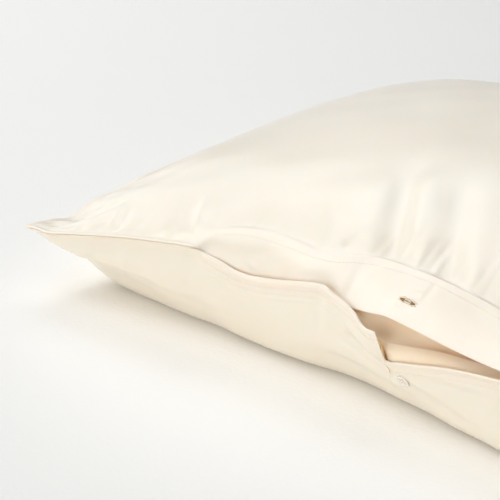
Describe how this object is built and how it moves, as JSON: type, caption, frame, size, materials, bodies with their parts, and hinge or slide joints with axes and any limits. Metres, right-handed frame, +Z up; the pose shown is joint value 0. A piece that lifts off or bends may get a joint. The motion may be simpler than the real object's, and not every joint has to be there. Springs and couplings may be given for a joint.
{
  "type": "square pillowcase with its pillow",
  "caption": "Square satin pillowcase lying filled with its pillow: plump crown, drawn-in sides, pointed corners, a partly open buttoned edge with a wide hem.",
  "frame": {"origin": "on the surface under the middle of the case", "axes": "+Z up; X along the edge with the opening; the opening faces -Y"},
  "size_m": [0.615, 0.615, 0.1574],
  "materials": {
    "ivory_satin": "smooth ivory satin weave with a soft sheen",
    "pillow_cotton": "matt fine cotton",
    "pearl_button": "polished pearly resin"
  },
  "bodies": {
    "root": {"top_panel": "ivory_satin", "bottom_panel": "ivory_satin", "pillow": "pillow_cotton", "button": "pearl_button"}
  },
  "joints": []
}
